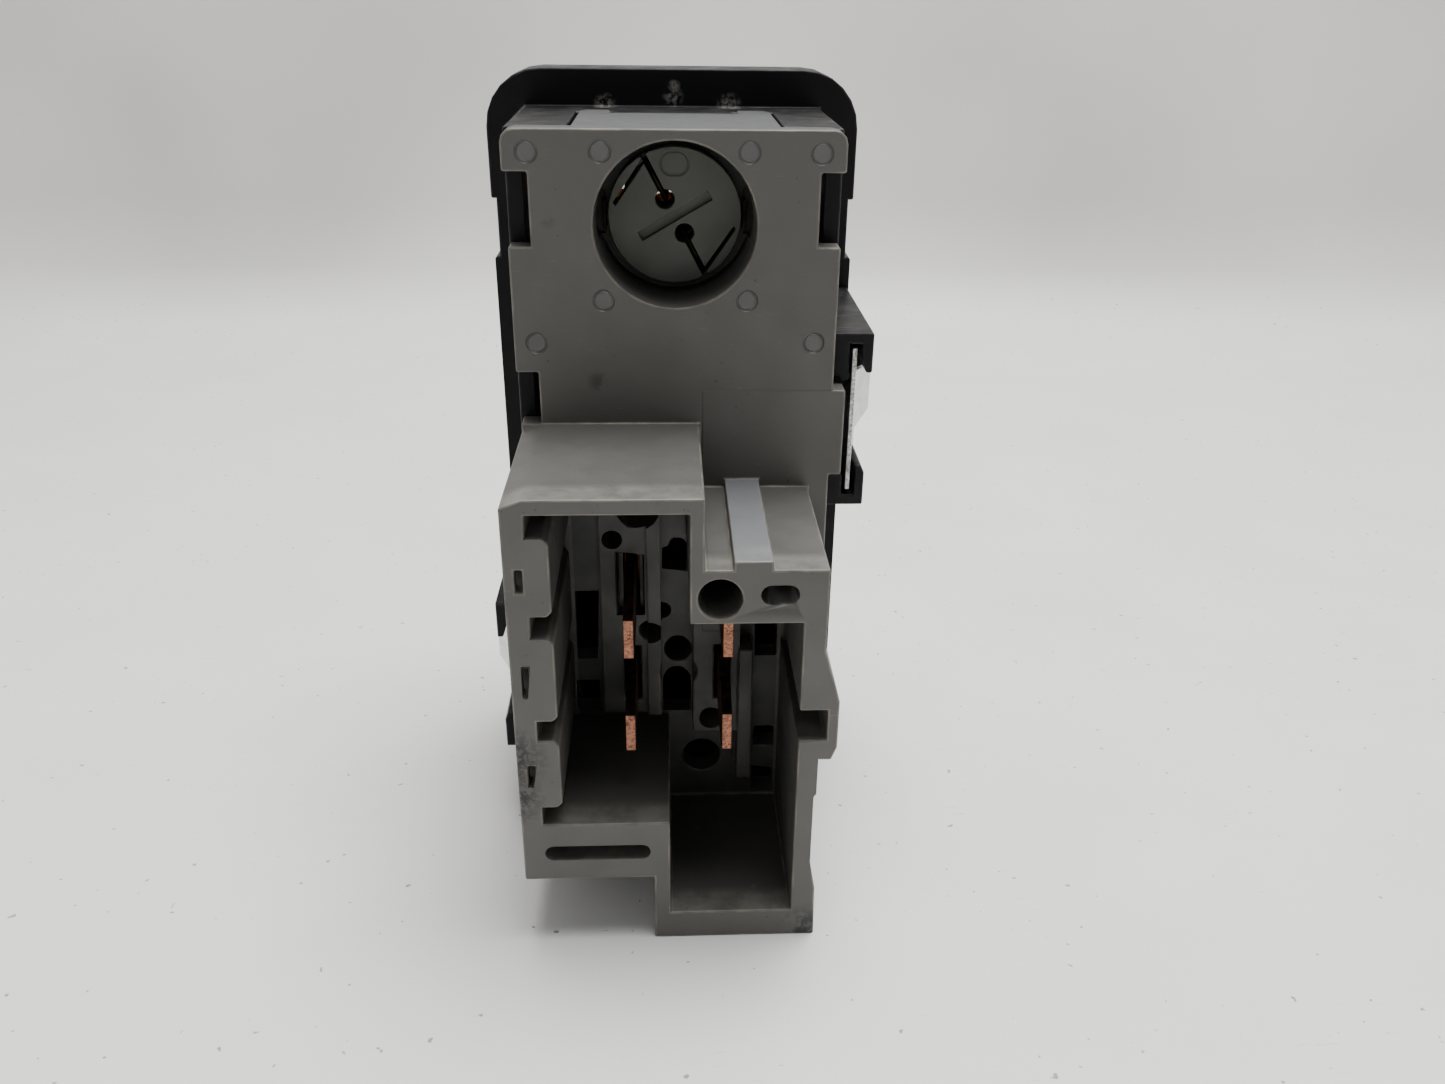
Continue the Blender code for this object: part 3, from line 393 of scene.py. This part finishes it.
def rolled_metal(name, colour, tarnish, roughness, grain_stretch=(1.0, 0.15, 1.0), tarnish_amount=0.6,
                 cut_colour=None):
    """Rolled or stamped strip: a fine grain along the rolling direction, with tarnish in patches."""
    material, tree, shader, places = new_material(name)
    stain = window_of(tree, noise_at(tree, places, 1.1, 4.0, 0.6), 0.4, 0.68, 0.0, tarnish_amount)
    base = blend_colours(tree, stain, colour, tarnish)
    if cut_colour:
        # The ends that the press cut, facing back, are bright bare metal with a torn grain.
        cut = facing(tree, places, "Y", -0.9, -0.99)
        torn = window_of(tree, noise_at(tree, places, 0.16, 2.0, 0.7), 0.36, 0.6, 0.1, 1.0)
        base = blend_colours(tree, product(tree, cut, torn), base, cut_colour)
    tree.links.new(base, shader.inputs["Base Color"])
    shader.inputs["Metallic"].default_value = 1.0
    rough = window_of(tree, noise_at(tree, places, 0.8, 3.0), 0.3, 0.7, roughness, roughness + 0.18)
    tree.links.new(rough, shader.inputs["Roughness"])
    # Rolling lines, a few hundredths of a millimetre apart, drawn at a tenth so that they show.
    add_bump(tree, shader, noise_at(tree, places, 0.1, 2.0, 0.5, grain_stretch), 0.004, 0.5)
    return material


def lamp_glass(name):
    """Drawn soda-lime glass of a small wedge lamp."""
    material, tree, shader, places = new_material(name)
    shader.inputs["Base Color"].default_value = (*srgb("#f6f7f4"), 1.0)
    shader.inputs["Transmission Weight"].default_value = 1.0
    shader.inputs["IOR"].default_value = 1.52
    # Slightly uneven wall that bends the highlights.
    rough = window_of(tree, noise_at(tree, places, 1.5), 0.3, 0.7, 0.01, 0.05)
    tree.links.new(rough, shader.inputs["Roughness"])
    add_bump(tree, shader, noise_at(tree, places, 1.2), 0.004, 0.3)
    return material


# Mesh building. Vertices closer than the merge gap are one, faces within the flat angle are one, and a triangle
# counts as turned over only above a sliver's size (in metres, degrees and square metres).

MERGE_GAP = 0.000004
FLAT_ANGLE = 0.6
SLIVER = 2e-9


def finish_piece(build, name, material, smooth_angle=35.0, weighted=True):
    """Makes the object from a bmesh in metres, at the origin, with its finish."""
    mesh = bpy.data.meshes.new(name)
    build.to_mesh(mesh)
    build.free()
    piece = bpy.data.objects.new(name, mesh)
    bpy.context.scene.collection.objects.link(piece)
    mesh.materials.append(material)
    mesh.shade_smooth()
    mesh.set_sharp_from_angle(angle=math.radians(smooth_angle))
    if weighted:
        modifier = piece.modifiers.new("even_shading", "WEIGHTED_NORMAL")
        modifier.keep_sharp = True
    return piece


def gap_to_edge(point, edge):
    """How far a point lies from an edge."""
    start = edge.verts[0].co
    run = edge.verts[1].co - start
    along = max(0.0, min(1.0, (point - start).dot(run) / run.length_squared))
    return (point - start - run * along).length


def turns_sharply(edge, vertex, rim):
    """Whether the rim that an edge belongs to turns a corner, or ends, at one of its vertices."""
    direction = edge.other_vert(vertex).co - vertex.co
    runs = [vertex.co - other.other_vert(vertex).co
            for other in vertex.link_edges if other is not edge and other in rim]
    return not any(direction.angle(run) < math.radians(40) for run in runs)


def has_room(edge, width, rim):
    """Whether an edge can be rounded without running into the next edge of its faces."""
    if edge.calc_length() < 1.6 * width and any(turns_sharply(edge, vertex, rim) for vertex in edge.verts):
        return False
    for face in edge.link_faces:
        for other in face.edges:
            if set(other.verts) & set(edge.verts):
                continue
            near = min([gap_to_edge(vertex.co, other) for vertex in edge.verts]
                       + [gap_to_edge(vertex.co, edge) for vertex in other.verts])
            if near < 2.1 * width:
                return False
    return True


def spoiled_places(build):
    """Corners of the triangles that turn over, where a rounding has run into its neighbour."""
    places = []
    for corners in build.calc_loop_triangles():
        first, second, third = (corner.vert.co for corner in corners)
        turn = (second - first).cross(third - first)
        if turn.length > SLIVER and turn.dot(corners[0].face.normal) < 0.0:
            places += [first.copy(), second.copy(), third.copy()]
    return places


def rounded_copy(source, indices, width, segments):
    """A copy of a bmesh with some edges rounded and the rounding marked for the materials."""
    build = source.copy()
    build.edges.ensure_lookup_table()
    layer = build.faces.layers.float.new("eased")
    rounded = bmesh.ops.bevel(build, geom=[build.edges[index] for index in indices], offset=width,
                              segments=segments, profile=0.5, affect="EDGES", material=-1, clamp_overlap=False)
    for face in rounded["faces"]:
        face[layer] = 1.0
    build.normal_update()
    return build


def eased_copy(node, width, segments=2, angle=30.0):
    """A node's solid with every edge rounded that has room for it.

    Where a rounding still spoils a face, the edges nearby are left crisp and the solid is rounded again."""
    source = bmesh.new()
    source.from_mesh(frame["nodes"][node].data)
    bmesh.ops.remove_doubles(source, verts=source.verts, dist=MERGE_GAP)
    bmesh.ops.dissolve_limit(source, angle_limit=math.radians(FLAT_ANGLE),
                             verts=source.verts, edges=source.edges)
    source.edges.index_update()
    sharp = {edge for edge in source.edges
             if len(edge.link_faces) == 2 and edge.calc_face_angle() > math.radians(angle)}
    roomy = [edge for edge in source.edges if edge in sharp and has_room(edge, width, sharp)]
    for attempt in range(6):
        build = rounded_copy(source, [edge.index for edge in roomy], width, segments)
        places = spoiled_places(build)
        if not places:
            source.free()
            return build
        build.free()
        reach = (1.5 + attempt) * width
        roomy = [edge for edge in roomy if min(gap_to_edge(place, edge) for place in places) > reach]
    raise RuntimeError("the edges of " + node + " could not be rounded")


def node_body(node):
    """The name of the body that a node belongs to."""
    for body, nodes in frame["record"]["behaviour"]["bodies"].items():
        if node in nodes:
            return body
    raise RuntimeError("no body holds " + node)


def stand_in(build, node, ending, material, smooth_angle=35.0, stretch=None):
    """Shows a finished piece in a node's place, on the same body; when a stretch is given, the piece is instead
    fixed where it stands.
    """
    piece = finish_piece(build, node + ending, material, smooth_angle)
    if stretch:
        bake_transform(piece)
    else:
        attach(piece, node_body(node))
    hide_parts(node)


def mould_node(node, material, width, segments=2):
    """Replaces a node by a copy with eased edges."""
    stand_in(eased_copy(node, width, segments), node, "_eased", material)


def smooth_node(node, material, stretch=None):
    """Replaces a node of drawn wire, glass or tube by a copy whose round faces shade smoothly."""
    build = bmesh.new()
    build.from_mesh(frame["nodes"][node].data)
    bmesh.ops.remove_doubles(build, verts=build.verts, dist=MERGE_GAP)
    stand_in(build, node, "_smooth", material, 50.0, stretch)


def coil_points(start, end, radius, turns, steps):
    """Points along a coil wound round the line between two places."""
    axis = (end - start).normalized()
    side = axis.orthogonal().normalized()
    other = axis.cross(side)
    points = []
    for step in range(turns * steps + 1):
        angle = 2 * math.pi * step / steps
        place = start.lerp(end, step / (turns * steps))
        points.append(place + (side * math.cos(angle) + other * math.sin(angle)) * radius)
    return points


def tube_along(points, radius, sides=6):
    """A closed tube of bmesh faces that follows a line of points."""
    build = bmesh.new()
    loops = []
    side = (points[1] - points[0]).orthogonal().normalized()
    for index, point in enumerate(points):
        run = (points[min(index + 1, len(points) - 1)] - points[max(index - 1, 0)]).normalized()
        side = (side - run * side.dot(run)).normalized()
        other = run.cross(side)
        loops.append([build.verts.new(point + (side * math.cos(turn) + other * math.sin(turn)) * radius)
                      for turn in (2 * math.pi * corner / sides for corner in range(sides))])
    for first, second in zip(loops, loops[1:]):
        for corner in range(sides):
            after = (corner + 1) % sides
            build.faces.new((first[corner], first[after], second[after], second[corner]))
    build.faces.new(list(reversed(loops[0])))
    build.faces.new(loops[-1])
    bmesh.ops.recalc_face_normals(build, faces=build.faces)
    return build


# The pieces.

class SWITCH_OT_cover(bpy.types.Operator):
    """Rear cover and plug socket in grey polyamide"""
    bl_idname = "switch.cover"
    bl_label = "Rear Cover"

    def execute(self, context):
        settings = context.scene.switch_settings
        finish = grey_polyamide("moulded_grey_polyamide", settings.cover_colour, srgb("#7a7366"), 1.0,
                                cover_details)
        mould_node("rear_cover", finish, settings.ease_width)
        return {"FINISHED"}


class SWITCH_OT_bezel(bpy.types.Operator):
    """Black bezel, sleeve and clip rails"""
    bl_idname = "switch.bezel"
    bl_label = "Front Bezel"

    def execute(self, context):
        settings = context.scene.switch_settings
        mould_node("front_bezel", black_abs("moulded_black_abs", settings.bezel_colour), settings.ease_width)
        return {"FINISHED"}


class SWITCH_OT_rocker(bpy.types.Operator):
    """Rocker key and its window"""
    bl_idname = "switch.rocker"
    bl_label = "Rocker"

    def execute(self, context):
        settings = context.scene.switch_settings
        mould_node("rocker", black_abs("satin_black_abs", settings.bezel_colour, 0.4, 0.3),
                   settings.ease_width * 1.5, 3)
        amber = plain_polymer("amber_acrylic", tuple(settings.lens_colour), 0.12, 1.49, 0.25)
        mould_node("rocker_lens", amber, settings.ease_width)
        return {"FINISHED"}


class SWITCH_OT_bulb_holder(bpy.types.Operator):
    """Twist-in bulb holder with its contacts"""
    bl_idname = "switch.bulb_holder"
    bl_label = "Bulb Holder"

    def execute(self, context):
        settings = context.scene.switch_settings
        # Its colour carries painted shade of the recess that the holder sits in.
        finish = grey_polyamide("pale_polyamide_in_painted_shade", settings.holder_colour, srgb("#55574d"), 0.5,
                                holder_details)
        mould_node("bulb_holder", finish, settings.ease_width * 0.6)
        copper = rolled_metal("stamped_copper", srgb("#4a3a32"), srgb("#1e1814"), 0.6)
        for side in ("left", "right"):
            mould_node("bulb_contact_" + side, copper, settings.ease_width * 0.4)
        return {"FINISHED"}


class SWITCH_OT_bulb(bpy.types.Operator):
    """Lamp glass, leads and a coiled filament"""
    bl_idname = "switch.bulb"
    bl_label = "Bulb"

    def execute(self, context):
        smooth_node("bulb_glass", lamp_glass("drawn_lamp_glass"))
        # The leads are tarnished dark brown and darkened further with painted shade of the holder's slits they
        # lie in.
        wire = rolled_metal("tarnished_lamp_wire_in_shade", srgb("#2e271b"), srgb("#100d0a"), 0.4)
        for row in ("upper", "lower"):
            smooth_node("bulb_lead_" + row, wire)
        low, high = (Vector(corner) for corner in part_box("bulb_filament"))
        middle = (low + high) / 2
        start = Vector((low.x, middle.y, high.z)).lerp(middle, 0.15)
        end = Vector((high.x, middle.y, low.z)).lerp(middle, 0.15)
        coil = tube_along(coil_points(start, end, 0.1 * MM, 16, 14), 0.022 * MM)
        tungsten = rolled_metal("drawn_tungsten", srgb("#8f9094"), srgb("#505155"), 0.3)
        stand_in(coil, "bulb_filament", "_coil", tungsten, 60.0)
        return {"FINISHED"}


class SWITCH_OT_terminals(bpy.types.Operator):
    """Blade terminals"""
    bl_idname = "switch.terminals"
    bl_label = "Terminals"

    def execute(self, context):
        settings = context.scene.switch_settings
        aged = rolled_metal("aged_copper_alloy", srgb("#64483a"), srgb("#241a15"), 0.42, (1, 0.15, 1), 0.85,
                            srgb("#a87560"))
        for row in ("upper", "lower"):
            for side in ("left", "right"):
                mould_node("terminal_%s_%s" % (row, side), aged, settings.ease_width * 0.4)
        return {"FINISHED"}


class SWITCH_OT_contacts(bpy.types.Operator):
    """Seesaw contacts, rivets, plungers, springs, lamp strips and light tube"""
    bl_idname = "switch.contacts"
    bl_label = "Contacts"

    def execute(self, context):
        settings = context.scene.switch_settings
        finishes = (
            ("contact_seesaw_", rolled_metal("rolled_copper", srgb("#bf7d58"), srgb("#6b4630"), 0.3)),
            ("lamp_strip_", rolled_metal("rolled_brass", srgb("#b99556"), srgb("#6e5a34"), 0.3)),
            ("contact_rivet_",
             rolled_metal("contact_silver", srgb("#d6d4cc"), srgb("#8d8a80"), 0.22, (1, 1, 1), 0.3)),
            ("plunger_", plain_polymer("natural_acetal", srgb("#dcd7c6"), 0.35, 1.48)),
        )
        steel = rolled_metal("drawn_spring_steel", srgb("#a9abae"), srgb("#6c6d70"), 0.28)
        for side in ("left", "right"):
            for stem, finish in finishes:
                mould_node(stem + side, finish, settings.ease_width * 0.4)
            # Each spring is squeezed between the rocker's stem and its plunger; the ends worked out here are
            # handed on, but the copy stays fixed where it stands.
            low, high = (Vector(corner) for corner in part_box("plunger_spring_" + side))
            middle = (low + high) / 2
            stem_end = (middle.x, high.y - 0.3 * MM, middle.z)
            plunger_end = (middle.x, low.y + 0.3 * MM, middle.z)
            smooth_node("plunger_spring_" + side, steel, ("rocker", "plunger_" + side, stem_end, plunger_end))
        smooth_node("light_tube", plain_polymer("white_acetal", srgb("#e4e3dd"), 0.4, 1.48))
        return {"FINISHED"}


class SWITCH_OT_clips(bpy.types.Operator):
    """Sprung side clips"""
    bl_idname = "switch.clips"
    bl_label = "Side Clips"

    def execute(self, context):
        settings = context.scene.switch_settings
        plated = rolled_metal("zinc_plated_spring_steel", srgb("#dddedb"), srgb("#9c9d99"), 0.28, (1, 0.2, 1),
                              0.35, srgb("#6a6b68"))
        for side in ("left", "right"):
            mould_node("clip_spring_" + side, plated, settings.ease_width * 0.4)
        return {"FINISHED"}


# The stage. The table, the wall behind it and the lamps, in metres; the camera, in millimetres and degrees.

FLOOR_HALF_WIDTH = 1.2
FLOOR_NEAR = -0.5
FLOOR_FAR = 0.17
WALL_HEIGHT = 0.7
CORNER_RADIUS = 0.035
CORNER_STEPS = 12
AIR_COLOUR = "#eef0f2"
AIR_STRENGTH = 0.3
LAMP_SIZE = 0.3
OVERHEAD_PLACE = (0.07, 0.04, 0.5)
FILL_PLACE = (-0.25, -0.45, 0.35)
CAMERA_LENS = 29.27
CAMERA_PLACE = (-0.71, -88.82, 9.5)
CAMERA_PITCH = 25.446
CAMERA_PAN = 2.922
CAMERA_ROLL = 0.774


def pale_surface(name, colour):
    """Matt white laminate with a few specks of dirt."""
    material, tree, shader, places = new_material(name)
    drift = window_of(tree, noise_at(tree, places, 25.0, 4.0), 0.3, 0.7, 0.0, 0.6)
    base = blend_colours(tree, drift, tuple(colour), tuple(part * 0.9 for part in colour))
    specks = window_of(tree, noise_at(tree, places, 0.9, 1.0), 0.755, 0.79, 0.0, 0.75)
    base = blend_colours(tree, specks, base, srgb("#6f6c66"))
    # Short scratches where things were slid across the table.
    worn = window_of(tree, noise_at(tree, places, 18.0, 2.0), 0.5, 0.65)
    lines = window_of(tree, noise_at(tree, places, 0.7, 4.0, 0.7, (0.25, 1.4, 1.0)), 0.64, 0.74, 0.0, 0.45)
    base = blend_colours(tree, product(tree, worn, lines), base, srgb("#8f8c86"))
    # The wall behind is veined and a little darker than the table.
    veins = window_of(tree, noise_at(tree, places, 90.0, 2.0, 0.45), 0.35, 0.7, 0.0, 0.5)
    wall = blend_colours(tree, veins, srgb("#dbdad6"), srgb("#a9a8a5"))
    upright = facing(tree, places, "Z", 0.85, 0.5)
    base = blend_colours(tree, upright, base, wall)
    tree.links.new(base, shader.inputs["Base Color"])
    shader.inputs["Roughness"].default_value = 0.5
    return material


def soft_light(name, place, target, size, power, colour=(1.0, 1.0, 1.0)):
    """A square area light at a place, turned to a target."""
    data = bpy.data.lights.new(name, "AREA")
    data.shape = "SQUARE"
    data.size = size
    data.energy = power
    data.color = colour
    lamp = bpy.data.objects.new(name, data)
    lamp.location = place
    lamp.rotation_euler = (Vector(target) - Vector(place)).to_track_quat("-Z", "Y").to_euler()
    bpy.context.scene.collection.objects.link(lamp)


class SWITCH_OT_stage(bpy.types.Operator):
    """Pale floor and backdrop, soft lights and the camera"""
    bl_idname = "switch.stage"
    bl_label = "Stage"

    def execute(self, context):
        stage = context.scene.stage_settings
        self.add_floor(stage)
        self.add_lights(context, stage)
        self.add_camera(context)
        return {"FINISHED"}

    def add_floor(self, stage):
        """The switch leans on its socket's lower edge and its bezel's, so the floor runs through both."""
        bezel_back = MOUNTS["panel_seat"].y
        slope = (BEZEL_LOW.z - COVER_LOW.z) / (bezel_back - MOUNTS["socket_rim"].y)
        outline = [(FLOOR_NEAR, 0.0)]
        for step in range(CORNER_STEPS + 1):
            angle = step / CORNER_STEPS * math.pi / 2
            outline.append((FLOOR_FAR + CORNER_RADIUS * math.sin(angle), CORNER_RADIUS * (1 - math.cos(angle))))
        outline.append((FLOOR_FAR + CORNER_RADIUS, WALL_HEIGHT))
        build = bmesh.new()
        line = [build.verts.new((-FLOOR_HALF_WIDTH, y, BEZEL_LOW.z + slope * (y - bezel_back) + z))
                for y, z in outline]
        edges = [build.edges.new(pair) for pair in zip(line, line[1:])]
        swept = bmesh.ops.extrude_edge_only(build, edges=edges)
        moved = [item for item in swept["geom"] if isinstance(item, bmesh.types.BMVert)]
        bmesh.ops.translate(build, vec=(2 * FLOOR_HALF_WIDTH, 0, 0), verts=moved)
        bmesh.ops.recalc_face_normals(build, faces=build.faces)
        floor = finish_piece(build, "stage_floor", pale_surface("white_laminate", stage.floor_colour), 60, False)

    def add_lights(self, context, stage):
        world = bpy.data.worlds.new("studio_air")
        world.use_nodes = True
        background = world.node_tree.nodes["Background"]
        background.inputs["Color"].default_value = (*srgb(AIR_COLOUR), 1.0)
        background.inputs["Strength"].default_value = AIR_STRENGTH
        context.scene.world = world
        middle = spot(0, 0, -30)
        soft_light("overhead", OVERHEAD_PLACE, middle, LAMP_SIZE, stage.key_power)
        soft_light("fill", FILL_PLACE, middle, LAMP_SIZE, stage.fill_power)

    def add_camera(self, context):
        """Almost straight behind the switch, looking down on its socket."""
        data = bpy.data.cameras.new("bench_camera")
        data.lens = CAMERA_LENS
        data.sensor_width = 36.0
        data.clip_start = 0.001
        data.clip_end = 10.0
        camera = bpy.data.objects.new("bench_camera", data)
        pitch = math.radians(CAMERA_PITCH)
        pan = math.radians(CAMERA_PAN)
        roll = math.radians(CAMERA_ROLL)
        forward = Vector((math.sin(pan) * math.cos(pitch), math.cos(pan) * math.cos(pitch), -math.sin(pitch)))
        level = Vector((math.cos(pan), -math.sin(pan), 0.0))
        up = level.cross(forward)
        right = level * math.cos(roll) + up * math.sin(roll)
        top = right.cross(forward)
        turn = Matrix((right, top, -forward)).transposed()
        camera.matrix_world = Matrix.Translation(spot(*CAMERA_PLACE)) @ turn.to_4x4()
        context.scene.collection.objects.link(camera)
        context.scene.camera = camera


class SWITCH_PT_panel(bpy.types.Panel):
    """Lists the switch's pieces and its settings"""
    bl_label = "Rocker Switch"
    bl_idname = "SWITCH_PT_panel"
    bl_space_type = "VIEW_3D"
    bl_region_type = "UI"
    bl_category = "Rocker Switch"

    def draw(self, context):
        column = self.layout.column(align=True)
        for operator in BUILD_ORDER:
            column.operator(operator.bl_idname)
        for group in (context.scene.switch_settings, context.scene.stage_settings):
            for name in group.__annotations__:
                self.layout.prop(group, name)


BUILD_ORDER = (SWITCH_OT_stage, SWITCH_OT_cover, SWITCH_OT_bezel, SWITCH_OT_rocker, SWITCH_OT_bulb_holder,
               SWITCH_OT_bulb, SWITCH_OT_terminals, SWITCH_OT_contacts, SWITCH_OT_clips)
CLASSES = (SwitchSettings, StageSettings) + BUILD_ORDER + (SWITCH_PT_panel,)


def register():
    for cls in CLASSES:
        bpy.utils.register_class(cls)
    bpy.types.Scene.switch_settings = PointerProperty(type=SwitchSettings)
    bpy.types.Scene.stage_settings = PointerProperty(type=StageSettings)


def unregister():
    del bpy.types.Scene.stage_settings
    del bpy.types.Scene.switch_settings
    for cls in reversed(CLASSES):
        bpy.utils.unregister_class(cls)


def main():
    register()
    for operator in BUILD_ORDER:
        group, name = operator.bl_idname.split(".")
        getattr(getattr(bpy.ops, group), name)()


if __name__ == "__main__":
    main()
